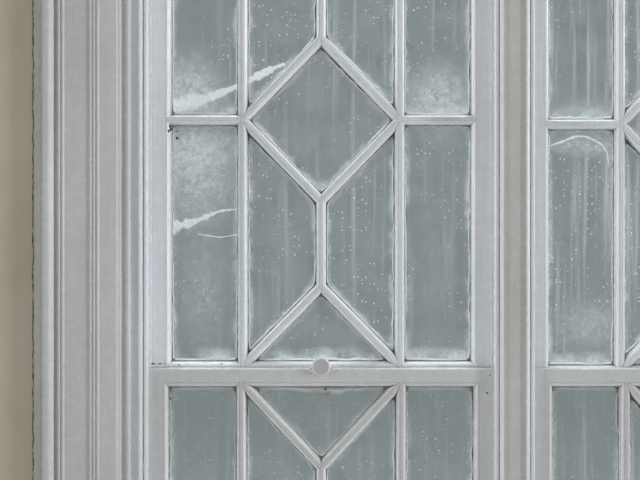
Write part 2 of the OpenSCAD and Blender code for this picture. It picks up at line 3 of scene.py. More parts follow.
import bpy
import numpy as np
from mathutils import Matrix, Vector


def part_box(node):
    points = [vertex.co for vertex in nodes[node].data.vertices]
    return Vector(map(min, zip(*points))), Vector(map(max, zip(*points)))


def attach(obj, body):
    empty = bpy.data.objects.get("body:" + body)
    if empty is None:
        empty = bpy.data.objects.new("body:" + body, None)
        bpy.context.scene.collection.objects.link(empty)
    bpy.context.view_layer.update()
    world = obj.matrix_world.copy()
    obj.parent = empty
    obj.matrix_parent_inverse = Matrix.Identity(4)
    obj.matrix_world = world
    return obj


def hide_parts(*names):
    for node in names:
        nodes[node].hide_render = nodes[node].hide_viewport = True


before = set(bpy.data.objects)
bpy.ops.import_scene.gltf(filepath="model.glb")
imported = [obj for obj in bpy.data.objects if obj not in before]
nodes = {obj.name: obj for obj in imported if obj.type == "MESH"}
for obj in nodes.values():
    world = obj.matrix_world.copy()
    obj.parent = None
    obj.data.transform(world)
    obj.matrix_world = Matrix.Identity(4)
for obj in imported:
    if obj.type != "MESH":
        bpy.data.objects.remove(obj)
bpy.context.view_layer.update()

# Walls

# The walls, piers and the beam over the lights are brickwork, a brick thick. Outdoors they have a sanded lime
# render, worn by rain; indoors a skim of lime plaster with old distemper. Where the bay is cut off from the
# house wall, the bricks show in section.

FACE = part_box("front_architrave_left")[1].y  # the room face of the front wall
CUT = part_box("base_wall")[0].y  # the plane where the bay leaves the house wall
ARCHITRAVE_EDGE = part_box("front_architrave_right")[1].x
COURSE = 0.075  # a brick of 65 mm and its joint
BRICK_RUN = 0.225  # a brick of 215 mm and its joint
HALF_JOINT = 0.005


def colour(code):
    """An sRGB hex colour as linear red, green, blue and 1: each part is divided by 12.92 when it is small,
    and otherwise 0.055 is added, the sum is divided by 1.055 and raised to the power 2.4."""
    part = np.array([int(code[i : i + 2], 16) for i in (0, 2, 4)]) / 255
    return (*np.where(part <= 0.04045, part / 12.92, ((part + 0.055) / 1.055) ** 2.4).tolist(), 1.0)


def add(tree, kind, links=None, **settings):
    """Adds a node. links join its inputs to other nodes, and settings are the node's own or, named with _ for
    a space or numbered as i0, i1 and so on, the values of its inputs."""
    made = tree.nodes.new("ShaderNode" + kind)
    for name, value in settings.items():
        if hasattr(made, name):
            setattr(made, name, value)
    for name, value in settings.items():
        if not hasattr(made, name):
            key = int(name[1:]) if name[0] == "i" and name[1:].isdigit() else name.replace("_", " ")
            made.inputs[key].default_value = value
    for key, socket in (links or {}).items():
        tree.links.new(socket, made.inputs[key])
    return made


def new_material(name):
    """An empty material, its nodes, and the object coordinates, which are the frame's own metres."""
    material = bpy.data.materials.new(name)
    material.use_nodes = True
    tree = material.node_tree
    tree.nodes.clear()
    return material, tree, add(tree, "TexCoord").outputs["Object"]


def dress(material, *names):
    """Gives a CAD node its finish, in every slot that it has."""
    for name in names:
        for slot in nodes[name].material_slots:
            slot.material = material


walls, tree, place = new_material("rendered_brick_weathered")
# A sanded render looks dull and slightly mottled, with grain of 2 to 3 mm and grey runs under every ledge.
xyz = add(tree, "SeparateXYZ", {0: place}).outputs
normal = add(tree, "NewGeometry").outputs["Normal"]
facing = add(tree, "SeparateXYZ", {0: normal}).outputs
grain = add(tree, "TexNoise", {"Vector": place}, Scale=420.0, Detail=2.0).outputs["Fac"]
trowel = add(tree, "TexNoise", {"Vector": place}, Scale=7.0, Detail=4.0).outputs["Fac"]
patches = add(tree, "TexNoise", {"Vector": place}, Scale=1.7, Detail=5.0, Roughness=0.6).outputs["Fac"]
patches = add(tree, "MapRange", {0: patches}, From_Min=0.35, From_Max=0.68).outputs[0]
outdoors = add(
    tree, "Mix", {0: patches}, data_type="RGBA", i6=colour("c9bea8"), i7=colour("aba08b"),
).outputs[2]
drawn = add(tree, "Mapping", {"Vector": place}, Scale=(6.0, 6.0, 0.8)).outputs[0]
runs = add(tree, "TexNoise", {"Vector": drawn}, Scale=1.6, Detail=5.0, Roughness=0.65).outputs["Fac"]
wet = add(tree, "MapRange", {0: runs}, From_Min=0.54, From_Max=0.80).outputs[0]
low = add(tree, "MapRange", {0: xyz[2]}, From_Min=0.55, From_Max=0.0).outputs[0]
splash = add(tree, "Math", {0: low, 1: trowel}, operation="MULTIPLY").outputs[0]
soiled = add(tree, "Math", {0: wet, 1: splash}, operation="MAXIMUM").outputs[0]
soiled = add(tree, "Math", {0: soiled}, operation="MULTIPLY", i1=0.55).outputs[0]
outdoors = add(tree, "Mix", {0: soiled, 6: outdoors}, data_type="RGBA", i7=colour("6f675a")).outputs[2]
# Old distemper on plaster is a warm beige, dull, with cloudy patches and, on the side walls, hairline cracks.
clouds = add(tree, "TexNoise", {"Vector": place}, Scale=3.5, Detail=6.0, Roughness=0.55).outputs["Fac"]
faded = add(tree, "MapRange", {0: clouds}, From_Min=0.35, From_Max=0.68).outputs[0]
indoors = add(
    tree, "Mix", {0: faded}, data_type="RGBA", i6=colour("e9decc"), i7=colour("dfd2be"),
).outputs[2]
bent = add(tree, "TexNoise", {"Vector": place}, Scale=6.0).outputs["Color"]
bent = add(tree, "MixRGB", {1: place, 2: bent}, Fac=0.12).outputs[0]
veins = add(tree, "TexVoronoi", {"Vector": bent}, feature="DISTANCE_TO_EDGE", Scale=1.3)
hairline = add(tree, "MapRange", {0: veins.outputs["Distance"]}, From_Min=0.0016, From_Max=0.0).outputs[0]
sideways = add(tree, "MapRange", {0: xyz[1]}, From_Min=FACE - 0.02, From_Max=FACE - 0.08).outputs[0]
hairline = add(tree, "Math", {0: hairline, 1: sideways}, operation="MULTIPLY").outputs[0]
hairline = add(tree, "Math", {0: hairline}, operation="MULTIPLY", i1=0.6).outputs[0]
indoors = add(tree, "Mix", {0: hairline, 6: indoors}, data_type="RGBA", i7=colour("6b5c49")).outputs[2]
# The plaster has shrunk from the front architraves: a ragged crack of up to 4 mm runs down beside each.
up = add(tree, "CombineXYZ", {2: xyz[2]}).outputs[0]
wander = add(tree, "TexNoise", {"Vector": up}, Scale=26.0, Detail=5.0, Roughness=0.6).outputs["Fac"]
middle = add(
    tree, "MapRange", {0: wander}, From_Min=0.3, From_Max=0.7, To_Min=0.0052, To_Max=0.0098,
).outputs[0]
opening = add(tree, "TexNoise", {"Vector": up}, Scale=44.0, Detail=4.0, Roughness=0.65).outputs["Fac"]
opening = add(
    tree, "MapRange", {0: opening}, From_Min=0.34, From_Max=0.66, To_Min=-0.0001, To_Max=0.0022,
).outputs[0]
away = add(tree, "Math", {0: xyz[0]}, operation="ABSOLUTE").outputs[0]
away = add(tree, "Math", {0: away}, operation="SUBTRACT", i1=ARCHITRAVE_EDGE).outputs[0]
away = add(tree, "Math", {0: away, 1: middle}, operation="SUBTRACT").outputs[0]
away = add(tree, "Math", {0: away}, operation="ABSOLUTE").outputs[0]
away = add(tree, "Math", {0: away, 1: opening}, operation="SUBTRACT").outputs[0]
crack = add(tree, "MapRange", {0: away}, From_Min=0.0005, From_Max=-0.0003).outputs[0]
crack = add(tree, "Math", {0: crack}, operation="MULTIPLY", i1=0.85).outputs[0]
indoors = add(tree, "Mix", {0: crack, 6: indoors}, data_type="RGBA", i7=colour("4f4a3d")).outputs[2]
# The cut shows common bricks, orange to brown red, in 10 mm joints of lime mortar.
section = add(tree, "CombineXYZ", {0: xyz[0], 1: xyz[2]}).outputs[0]
bricks = add(
    tree, "TexBrick", {"Vector": section}, Scale=1.0, Brick_Width=BRICK_RUN, Row_Height=COURSE,
    Mortar_Size=HALF_JOINT, Mortar_Smooth=0.3, Color1=colour("9c5a43"), Color2=colour("83503d"),
    Mortar=colour("b5a993"),
)
mottled = add(
    tree, "Mix", {0: grain, 6: bricks.outputs["Color"]}, data_type="RGBA", blend_type="MULTIPLY",
    i7=colour("c9c2ba"),
).outputs[2]
inward = add(tree, "MapRange", {0: facing[1]}, From_Min=-0.25, From_Max=-0.35).outputs[0]
at_cut = add(tree, "MapRange", {0: xyz[1]}, From_Min=CUT + 0.002, From_Max=CUT + 0.001).outputs[0]
shown = add(tree, "Mix", {0: inward, 6: outdoors, 7: indoors}, data_type="RGBA").outputs[2]
shown = add(tree, "Mix", {0: at_cut, 6: shown, 7: mottled}, data_type="RGBA").outputs[2]
sand = add(tree, "Mix", {0: inward, 2: grain, 3: clouds}).outputs[0]
sand = add(tree, "Mix", {0: at_cut, 2: sand, 3: bricks.outputs["Fac"]}).outputs[0]
relief = add(tree, "Bump", {"Height": sand}, Strength=0.5, Distance=0.0016).outputs[0]
relief = add(tree, "Bump", {"Height": trowel, "Normal": relief}, Strength=0.5, Distance=0.006).outputs[0]
surface = add(tree, "BsdfPrincipled", {"Base Color": shown, "Normal": relief}, Roughness=0.92)
add(tree, "OutputMaterial", {0: surface.outputs[0]})
dress(walls, "base_wall", "pier_front_left", "pier_front_right", "pier_rear_left", "pier_rear_right",
      "ring_beam")

# Stone sill and cornice

# Limestone, sawn and rubbed, in lengths of about 0.9 m bedded in lime and butted together. Rain has greyed
# what faces up and left the undersides pale.

STONE_LENGTH = 0.9
stone, tree, place = new_material("limestone_rubbed_weathered")
# Rubbed limestone is dull and even, with shell flecks of 3 to 6 mm and soot where water stands.
normal = add(tree, "NewGeometry").outputs["Normal"]
facing = add(tree, "SeparateXYZ", {0: normal}).outputs
xyz = add(tree, "SeparateXYZ", {0: place}).outputs
bedded = add(tree, "Mapping", {"Vector": place}, Scale=(2.0, 2.0, 14.0)).outputs[0]
beds = add(tree, "TexNoise", {"Vector": bedded}, Scale=2.0, Detail=5.0).outputs["Fac"]
beds = add(tree, "MapRange", {0: beds}, From_Min=0.3, From_Max=0.7).outputs[0]
tone = add(tree, "Mix", {0: beds}, data_type="RGBA", i6=colour("c2b8a2"), i7=colour("aea48f")).outputs[2]
flecks = add(tree, "TexVoronoi", {"Vector": place}, Scale=210.0).outputs["Distance"]
flecks = add(tree, "MapRange", {0: flecks}, From_Min=0.25, From_Max=0.1, To_Max=0.5).outputs[0]
tone = add(tree, "Mix", {0: flecks, 6: tone}, data_type="RGBA", i7=colour("d6cdb8")).outputs[2]
drawn = add(tree, "Mapping", {"Vector": place}, Scale=(14.0, 14.0, 1.5)).outputs[0]
streaks = add(tree, "TexNoise", {"Vector": drawn}, Scale=1.0, Detail=6.0, Roughness=0.7).outputs["Fac"]
streaks = add(tree, "MapRange", {0: streaks}, From_Min=0.34, From_Max=0.66).outputs[0]
upward = add(
    tree, "MapRange", {0: facing[2]}, From_Min=-0.1, From_Max=0.7, To_Min=0.12, To_Max=0.75,
).outputs[0]
soot = add(tree, "Math", {0: upward, 1: streaks}, operation="MULTIPLY").outputs[0]
tone = add(tree, "Mix", {0: soot, 6: tone}, data_type="RGBA", i7=colour("5f5a50")).outputs[2]
along = add(tree, "Math", {0: xyz[0]}, operation="ADD", i1=STONE_LENGTH / 2).outputs[0]
along = add(tree, "Math", {0: along}, operation="PINGPONG", i1=STONE_LENGTH / 2).outputs[0]
joint = add(tree, "MapRange", {0: along}, From_Min=0.0035, From_Max=0.0020).outputs[0]
tone = add(tree, "Mix", {0: joint, 6: tone}, data_type="RGBA", i7=colour("857a68")).outputs[2]
pits = add(tree, "TexNoise", {"Vector": place}, Scale=160.0, Detail=4.0).outputs["Fac"]
height = add(tree, "Math", {0: pits, 1: joint}, operation="SUBTRACT").outputs[0]
relief = add(tree, "Bump", {"Height": height}, Strength=0.45, Distance=0.002).outputs[0]
surface = add(tree, "BsdfPrincipled", {"Base Color": tone, "Normal": relief}, Roughness=0.85)
add(tree, "OutputMaterial", {0: surface.outputs[0]})
dress(stone, "stone_sill", "cornice")

# Roof

# Sheet lead dressed over a boarded deck, its bays joined over round wooden rolls. Old lead is a soft grey
# with a white bloom that the rain draws towards the front edge.

lead, tree, place = new_material("sheet_lead_patinated")
# Lead is a metal but hardly shines: a broad dull sheen with shallow dents where it was dressed with a bat.
flow = add(tree, "Mapping", {"Vector": place}, Scale=(6.0, 1.4, 3.0)).outputs[0]
bloom = add(tree, "TexNoise", {"Vector": flow}, Scale=1.2, Detail=6.0, Roughness=0.6).outputs["Fac"]
whitened = add(tree, "MapRange", {0: bloom}, From_Min=0.36, From_Max=0.74).outputs[0]
tone = add(tree, "Mix", {0: whitened}, data_type="RGBA", i6=colour("8d9295"), i7=colour("b2b6b5")).outputs[2]
spots = add(tree, "TexNoise", {"Vector": place}, Scale=45.0, Detail=4.0).outputs["Fac"]
spots = add(tree, "MapRange", {0: spots}, From_Min=0.55, From_Max=0.72, To_Max=0.5).outputs[0]
tone = add(tree, "Mix", {0: spots, 6: tone}, data_type="RGBA", i7=colour("65696a")).outputs[2]
dull = add(tree, "MapRange", {0: bloom}, From_Min=0.35, From_Max=0.7, To_Min=0.45, To_Max=0.72).outputs[0]
dents = add(tree, "TexNoise", {"Vector": place}, Scale=16.0, Detail=2.0).outputs["Fac"]
relief = add(tree, "Bump", {"Height": dents}, Strength=0.5, Distance=0.008).outputs[0]
surface = add(
    tree, "BsdfPrincipled", {"Base Color": tone, "Roughness": dull, "Normal": relief}, Metallic=0.75,
)
add(tree, "OutputMaterial", {0: surface.outputs[0]})
dress(lead, "roof")

# Ceiling

# Lath and plaster, whitened with distemper that has yellowed a little. It hides the joists and the deck from
# below.

ceiling, tree, place = new_material("lime_plaster_distempered")
# Distemper is chalky and dull, brushed in crossing strokes about 60 mm wide.
drawn = add(tree, "Mapping", {"Vector": place}, Scale=(16.0, 4.0, 16.0)).outputs[0]
brushed = add(tree, "TexNoise", {"Vector": drawn}, Scale=2.0, Detail=4.0).outputs["Fac"]
tone = add(tree, "Mix", {0: brushed}, data_type="RGBA", i6=colour("e0dcd2"), i7=colour("d2cdc1")).outputs[2]
relief = add(tree, "Bump", {"Height": brushed}, Strength=0.3, Distance=0.002).outputs[0]
surface = add(tree, "BsdfPrincipled", {"Base Color": tone, "Normal": relief}, Roughness=0.95)
add(tree, "OutputMaterial", {0: surface.outputs[0]})
dress(ceiling, "ceiling")

# Joinery

# Weight boxes, mullion, linings, sills, beads and architraves are planed softwood, nailed together and
# painted white many times over, so the edges are soft; every quirk is dark with dirt and painted shade.


def oil_paint(name, strokes, fresh, aged, corner_dirt_and_shade, front_shade):
    """White oil paint of two tones. strokes stretches the brush marks: a small number along the way that it
    was brushed. The fifth argument is how much darkening in the corners is kept, dirt and painted shade, and
    the sixth how far the faces towards the room are greyed by painted shade."""
    material, tree, place = new_material(name)
    normal = add(tree, "NewGeometry").outputs["Normal"]
    facing = add(tree, "SeparateXYZ", {0: normal}).outputs
    # Aged oil paint has a satin face, a faint yellow cast in patches and lumps of 10 to 20 mm under it.
    cast = add(tree, "TexNoise", {"Vector": place}, Scale=3.0, Detail=4.0).outputs["Fac"]
    cast = add(tree, "MapRange", {0: cast}, From_Min=0.35, From_Max=0.65).outputs[0]
    tone = add(tree, "Mix", {0: cast}, data_type="RGBA", i6=colour(fresh), i7=colour(aged)).outputs[2]
    drawn = add(tree, "Mapping", {"Vector": place}, Scale=strokes).outputs[0]
    marks = add(tree, "TexNoise", {"Vector": drawn}, Scale=1.0, Detail=3.0).outputs["Fac"]
    hollows = add(tree, "MapRange", {0: marks}, From_Min=0.45, From_Max=0.8, To_Max=0.35).outputs[0]
    tone = add(tree, "Mix", {0: hollows, 6: tone}, data_type="RGBA", i7=colour("d0cfcc")).outputs[2]
    # Painted shade greys the faces towards the room, while the slopes of the mouldings stay whiter.
    front = add(tree, "MapRange", {0: facing[1]}, From_Min=-0.92, From_Max=-0.99, To_Max=front_shade).outputs[0]
    tone = add(tree, "Mix", {0: front, 6: tone}, data_type="RGBA", i7=colour("c8c8c7")).outputs[2]
    # Within 8 mm of an inner corner the paint darkens: dust and old polish gather there, and it is painted
    # shade.
    grime = add(tree, "TexNoise", {"Vector": place}, Scale=35.0, Detail=5.0, Roughness=0.7).outputs["Fac"]
    hollow = add(tree, "AmbientOcclusion", samples=6, only_local=True, Distance=0.008).outputs["AO"]
    closed = add(tree, "MapRange", {0: hollow}, From_Min=0.75, From_Max=0.25).outputs[0]
    clotted = add(tree, "MapRange", {0: grime}, From_Min=0.3, From_Max=0.6).outputs[0]
    dirt_and_shade = add(tree, "Math", {0: closed, 1: clotted}, operation="MULTIPLY").outputs[0]
    dirt_and_shade = add(tree, "Math", {0: dirt_and_shade}, operation="MULTIPLY", i1=0.75 * corner_dirt_and_shade).outputs[0]
    tone = add(tree, "Mix", {0: dirt_and_shade, 6: tone}, data_type="RGBA", i7=colour("8d8578")).outputs[2]
    # In the quirks beside a nose or a reed, 1 mm deep, the paint is nearly black: packed dirt and painted
    # shade.
    quirk = add(tree, "AmbientOcclusion", samples=6, only_local=True, Distance=0.0028).outputs["AO"]
    packed_dirt_and_shade = add(tree, "MapRange", {0: quirk}, From_Min=0.92, From_Max=0.55, To_Max=0.85 * corner_dirt_and_shade).outputs[0]
    caked = add(tree, "MapRange", {0: grime}, From_Min=0.25, From_Max=0.5).outputs[0]
    packed_dirt_and_shade = add(tree, "Math", {0: packed_dirt_and_shade, 1: caked}, operation="MULTIPLY").outputs[0]
    tone = add(tree, "Mix", {0: packed_dirt_and_shade, 6: tone}, data_type="RGBA", i7=colour("57524b")).outputs[2]
    # Fly spots and nicks of 1 to 2 mm, one in about every 60 mm.
    cells = add(tree, "TexVoronoi", {"Vector": place}, Scale=34.0)
    chosen = add(tree, "SeparateXYZ", {0: cells.outputs["Color"]}).outputs[0]
    rare = add(tree, "Math", {0: chosen}, operation="GREATER_THAN", i1=0.72).outputs[0]
    dot = add(tree, "MapRange", {0: cells.outputs["Distance"]}, From_Min=0.05, From_Max=0.03).outputs[0]
    spot = add(tree, "Math", {0: dot, 1: rare}, operation="MULTIPLY").outputs[0]
    spot = add(tree, "Math", {0: spot}, operation="MULTIPLY", i1=0.7).outputs[0]
    tone = add(tree, "Mix", {0: spot, 6: tone}, data_type="RGBA", i7=colour("6a6258")).outputs[2]
    # Outdoors the paint has chalked, and has flaked to grey wood in spots of 10 to 40 mm.
    outside = add(tree, "MapRange", {0: facing[1]}, From_Min=0.1, From_Max=0.4).outputs[0]
    chalk = add(tree, "Math", {0: outside}, operation="MULTIPLY", i1=0.8).outputs[0]
    tone = add(tree, "Mix", {0: chalk, 6: tone}, data_type="RGBA", i7=colour("d2d0c9")).outputs[2]
    upright = add(tree, "Mapping", {"Vector": place}, Scale=(1.0, 1.0, 0.5)).outputs[0]
    flake = add(tree, "TexNoise", {"Vector": upright}, Scale=24.0, Detail=6.0, Roughness=0.75).outputs["Fac"]
    flake = add(tree, "MapRange", {0: flake}, From_Min=0.615, From_Max=0.63).outputs[0]
    flake = add(tree, "Math", {0: flake, 1: outside}, operation="MULTIPLY").outputs[0]
    split = add(tree, "Mapping", {"Vector": place}, Scale=(300.0, 300.0, 12.0)).outputs[0]
    fibres = add(tree, "TexNoise", {"Vector": split}, Scale=1.0, Detail=2.0).outputs["Fac"]
    bare = add(tree, "Mix", {0: fibres}, data_type="RGBA", i6=colour("8f8676"), i7=colour("b3a994"))
    tone = add(tree, "Mix", {0: flake, 6: tone, 7: bare.outputs[2]}, data_type="RGBA").outputs[2]
    lumps = add(tree, "TexNoise", {"Vector": place}, Scale=70.0, Detail=2.0).outputs["Fac"]
    relief = add(tree, "Bump", {"Height": lumps}, Strength=0.35, Distance=0.0012).outputs[0]
    relief = add(tree, "Bump", {"Height": marks, "Normal": relief}, Strength=0.3, Distance=0.0006).outputs[0]
    sunk = add(tree, "Math", {0: flake}, operation="MULTIPLY", i1=-1.0).outputs[0]
    relief = add(tree, "Bump", {"Height": sunk, "Normal": relief}, Strength=0.8, Distance=0.0008).outputs[0]
    gloss = add(tree, "MapRange", {0: grime}, From_Min=0.3, From_Max=0.7, To_Min=0.18, To_Max=0.34).outputs[0]
    surface = add(tree, "BsdfPrincipled", {"Base Color": tone, "Roughness": gloss, "Normal": relief})
    add(tree, "OutputMaterial", {0: surface.outputs[0]})
    return material


UPRIGHT = (260.0, 260.0, 5.0)  # brush marks 4 mm wide and 200 mm long, up and down
LEVEL = (5.0, 5.0, 260.0)
SIDES = ("front", "side_left", "side_right")
level_paint = oil_paint("oil_paint_brushed_level", LEVEL, "ebebec", "e1e1e0", 0.15, 0.06)
dress(level_paint, "window_board", "front_frame_head", "front_architrave_head",
      *[side + "_timber_sill" for side in SIDES])
upright_paint = oil_paint("oil_paint_brushed_upright", UPRIGHT, "ebebec", "e1e1e0", 0.15, 0.06)
dress(upright_paint, "front_architrave_left", "front_architrave_right",
      *[side + part for side in SIDES[1:] for part in ("_frame", "_beads", "_architrave")])
# The mullion's face is handled most, and its paint is the greyest, with painted shade on its face as well.
dress(oil_paint("oil_paint_handled_and_shaded", UPRIGHT, "d7d5d2", "ccc9c4", 0.3, 0.13), "front_mullion")
# The front boxes, beads and upper sashes are a colder, brighter white: painted light from the sky in the
# recess.
brilliant = oil_paint("oil_paint_brilliant_white", UPRIGHT, "f7f9fd", "f1f4f9", 0.6, 0.0)
dress(brilliant, "front_jamb_boxes", "front_staff_beads", "front_parting_beads")

# Sashes

# Four pairs of sashes, each of them two stiles, two rails and a lattice of moulded bars, tenoned and scribed
# together. The lower sashes, pushed up by hands, are dirtiest, with the most painted shade in corners and
# fronts.

LIGHTS = {
    # the middle of each light on the plaster's face, and the way it is turned
    "front_left": (-0.395, FACE, 0.0),
    "front_right": (0.395, FACE, 0.0),
    "side_left": (-1.54755, -0.18100, math.radians(45)),
    "side_right": (1.54755, -0.18100, math.radians(-45)),
}
# Their paint keeps all its corner darkening, dirt and painted shade, and greys its fronts most as painted
# shade.
dirty_shaded_paint = oil_paint("oil_paint_dirty_and_shaded", UPRIGHT, "f0f0f1", "e6e6e5", 1.0, 0.42)
dress(dirty_shaded_paint, *[light + "_lower_sash" for light in LIGHTS])
dress(brilliant, *[light + "_upper_sash" for light in LIGHTS])

# Glass

# Thin drawn glass, cut to the shape of each opening and bedded in putty from outdoors. Nobody has cleaned it
# for years: dust, dried rain and haze lie on it, thickest along the bars and in the bottom of a pane.

BAR_X = 0.1644  # where the upright bars stand, from the middle of a light
DIAMOND = 0.1695  # half the height of the diamond
FORK_FOOT = 0.349  # where the fork springs from the upright link
FORK_PAST = 0.010  # how far past the rail's sight line the fork's line meets the upright bar's
HALF_BAR = 0.0105
HALF_GLASS = 0.314
GLASS_IN = 0.028  # from the sash's face to the glass
GLASS_THICK = 0.003
GLASS_UNDER = 0.006  # how far a pane reaches under a bar
EDGE_POINTS = 0.016  # between points round a pane
SHRINK = np.array([0.0, 0.02, 0.06, 0.14, 0.28, 0.46, 0.66, 0.86])  # rings, from a pane's edge to its middle
KINDS = {
    # depth of the sash's face, height of the middle of its glass, and height of its fork
    "upper": (0.074, 2.2635, 0.157),
    "lower": (0.020, 1.1950, 0.166),
}
DROPPED = 0.009  # how far the upper sash of the right-hand front light hangs low
PATCHES = {
    # haze that shows in one sash: along, up, half width, half height, strength
    "front_left_upper": [(-0.26, -0.07, 0.08, 0.12, 1.0), (-0.28, 0.06, 0.06, 0.07, 0.7),
                         (0.25, 0.04, 0.07, 0.07, 0.8), (-0.25, -0.36, 0.05, 0.12, 0.35)],
    "front_right_upper": [(-0.24, 0.02, 0.08, 0.03, 0.6), (-0.24, -0.04, 0.07, 0.018, 0.7),
                          (-0.18, -0.15, 0.02, 0.16, 0.5), (-0.22, -0.42, 0.09, 0.05, 0.5)],
}


def at_light(light, u, out, z):
    """Points given along a light from its middle, outwards from the plaster, and up, as frame coordinates:
    the light's middle plus u times its own x direction plus out times its own outward direction."""
    x, y, turn = LIGHTS[light]
    return np.stack([x + u * math.cos(turn) - out * math.sin(turn),
                     y + u * math.sin(turn) + out * math.cos(turn), z + 0 * u], -1)


def build(name, points, faces, material, values=None, smooth=True):
    """A piece from arrays: its points, its faces, and values as named numbers at each point."""
    mesh = bpy.data.meshes.new(name)
    mesh.from_pydata(points.reshape(-1, 3).tolist(), [], faces)
    for key, value in (values or {}).items():
        mesh.attributes.new(key, "FLOAT", "POINT").data.foreach_set("value", value.astype(np.float32).ravel())
    mesh.polygons.foreach_set("use_smooth", np.full(len(mesh.polygons), smooth))
    mesh.materials.append(material)
    piece = bpy.data.objects.new(name, mesh)
    bpy.context.scene.collection.objects.link(piece)
    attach(piece, "root")
    return piece


def middle_of(light, kind):
    """The depth of a sash's face and the height of the middle of its glass."""
    depth, height, _ = KINDS[kind]
    return depth, height - (DROPPED if (light, kind) == ("front_right", "upper") else 0.0)


def inward_sides(corners):
    """The unit normals of a polygon's sides, to the left of the way that its corners run."""
    run = np.roll(corners, -1, 0) - corners
    return np.stack([-run[:, 1], run[:, 0]], -1) / np.linalg.norm(run, axis=1)[:, None]


def panes(kind):
    """The corners of the eleven panes of a sash, from the middle of its glass. Each edge is a line of the
    lattice moved in by half a bar, or the sight line of a rail or stile, and the corners are where each moved
    line crosses the next: the solution of two equations, normal times point equals the line's distance."""
    fork = KINDS[kind][2]
    top = FORK_FOOT + fork
    foot = FORK_FOOT + fork + FORK_PAST
    bar, sight = HALF_BAR, 0.0
    shapes = []
    for a in (1, -1):
        for b in (1, -1):
            shapes.append([((BAR_X, 0), bar), ((HALF_GLASS, 0), sight), ((HALF_GLASS, top), sight),
                           ((BAR_X, top), bar), a, b])
            shapes.append([((BAR_X, 0), bar), ((BAR_X, foot), bar), ((0, FORK_FOOT), bar),
                           ((0, DIAMOND), bar), a, b])
    for b in (1, -1):
        shapes.append([((0, FORK_FOOT), bar), ((BAR_X, foot), foot - top), ((-BAR_X, foot), bar), 1, b])
    shapes.append([((BAR_X, 0), bar), ((0, DIAMOND), bar), ((-BAR_X, 0), bar), ((0, -DIAMOND), bar), 1, 1])
    found = []
    for *edges, a, b in shapes:
        start = np.array([point for point, _ in edges], float)
        inset = np.array([distance for _, distance in edges])
        normal = inward_sides(start)
        reach = (normal * start).sum(1) + inset
        pairs = np.stack([np.roll(normal, 1, 0), normal], 1)
        corners = np.linalg.solve(pairs, np.stack([np.roll(reach, 1), reach], 1)[..., None])[..., 0]
        corners *= (a, b)
        found.append(corners if a * b > 0 else corners[::-1])
    return found


def round_edge(corners, step):
    """Points about a step apart round a polygon, with the corners among them."""
    runs = []
    for p, q in zip(corners, np.roll(corners, -1, 0)):
        count = max(2, int(round(np.linalg.norm(q - p) / step)))
        runs.append(p + (q - p) * np.linspace(0, 1, count, endpoint=False)[:, None])
    return np.concatenate(runs)


def edge_distance(points, corners):
    """The least distance from each point to the sides of a convex polygon that it lies in."""
    return ((points[:, None] - corners) * inward_sides(corners)).sum(-1).min(1)


def glass(light, kind):
    """Panes as rings that shrink from the edge to the middle: the middle plus 1 less the ring's share times
    the edge less the middle, once on each face, with the rim and the middle closed. The first ring is the
    pane's edge under the bars. Each point has its distance from the bars, its height and its haze, which is
    the sum of each patch's strength times e to the power of minus the squared distance in half sizes."""
    depth, middle_z = middle_of(light, kind)
    points, faces, near, above, haze = [], [], [], [], []
    count = 0
    for corners in panes(kind):
        centre = corners.mean(0)
        rim = round_edge(corners, EDGE_POINTS)
        half = np.maximum(0.02, edge_distance(centre[None], corners))
        out = centre + (rim - centre) * (1 + GLASS_UNDER / half)
        rings = [out] + [centre + (rim - centre) * (1 - share) for share in SHRINK]
        n = len(rim)
        flat = np.concatenate(rings)
        gap = np.concatenate([np.zeros(n), edge_distance(flat[n:], corners)])
        soft = np.zeros(len(flat))
        for u, v, wide, high, strength in PATCHES.get(light + "_" + kind, []):
            soft += strength * np.exp(-((flat[:, 0] - u) / wide) ** 2 - ((flat[:, 1] - v) / high) ** 2)
        i = np.arange(n)
        for face, inside in ((0, True), (1, False)):
            d = np.full(len(flat), depth + GLASS_IN + face * GLASS_THICK)
            points.append(at_light(light, flat[:, 0], d, middle_z + flat[:, 1]))
            near.append(gap)
            above.append(flat[:, 1] - corners[:, 1].min())
            haze.append(soft)
            base = count + face * len(flat)
            for ring in range(len(rings) - 1):
                a, b = base + ring * n + i, base + ring * n + (i + 1) % n
                quads = np.stack([a, b, b + n, a + n], -1)
                faces += (quads if inside else quads[:, ::-1]).tolist()
            cap = base + (len(rings) - 1) * n + i
            faces.append((cap if inside else cap[::-1]).tolist())
        a, b = count + i, count + (i + 1) % n
        faces += np.stack([b, a, a + len(flat), b + len(flat)], -1).tolist()
        count += 2 * len(flat)
    values = {"near": np.concatenate(near), "above": np.concatenate(above), "haze": np.concatenate(haze)}
    return np.concatenate(points), faces, values


dusty, tree, place = new_material("drawn_glass_dusty")
# Glass itself is clear and mirrors a little, more at a slant. What shows is the dirt: a grey film, pale
# specks of up to 4 mm, runs of dried rain, and a chalky rim along the bars.
near, above, haze = (
    add(tree, "Attribute", attribute_name=key).outputs["Fac"] for key in ("near", "above", "haze")
)
cloud = add(tree, "TexNoise", {"Vector": place}, Scale=16.0, Detail=8.0, Roughness=0.72).outputs["Fac"]
film = add(tree, "MapRange", {0: cloud}, From_Min=0.35, From_Max=0.75, To_Min=0.02, To_Max=0.14).outputs[0]
# A chalky rim lies along the bars, within 16 mm, and dust has drifted 35 mm up from the foot of a pane.
layers = []
for distance, reach, least, most in ((near, 0.016, 0.40, 0.68), (above, 0.035, 0.36, 0.62)):
    close = add(tree, "MapRange", {0: distance}, From_Min=reach, From_Max=0.0).outputs[0]
    drifts = add(tree, "MapRange", {0: cloud}, From_Min=least, From_Max=most).outputs[0]
    layers.append(add(tree, "Math", {0: close, 1: drifts}, operation="MULTIPLY").outputs[0])
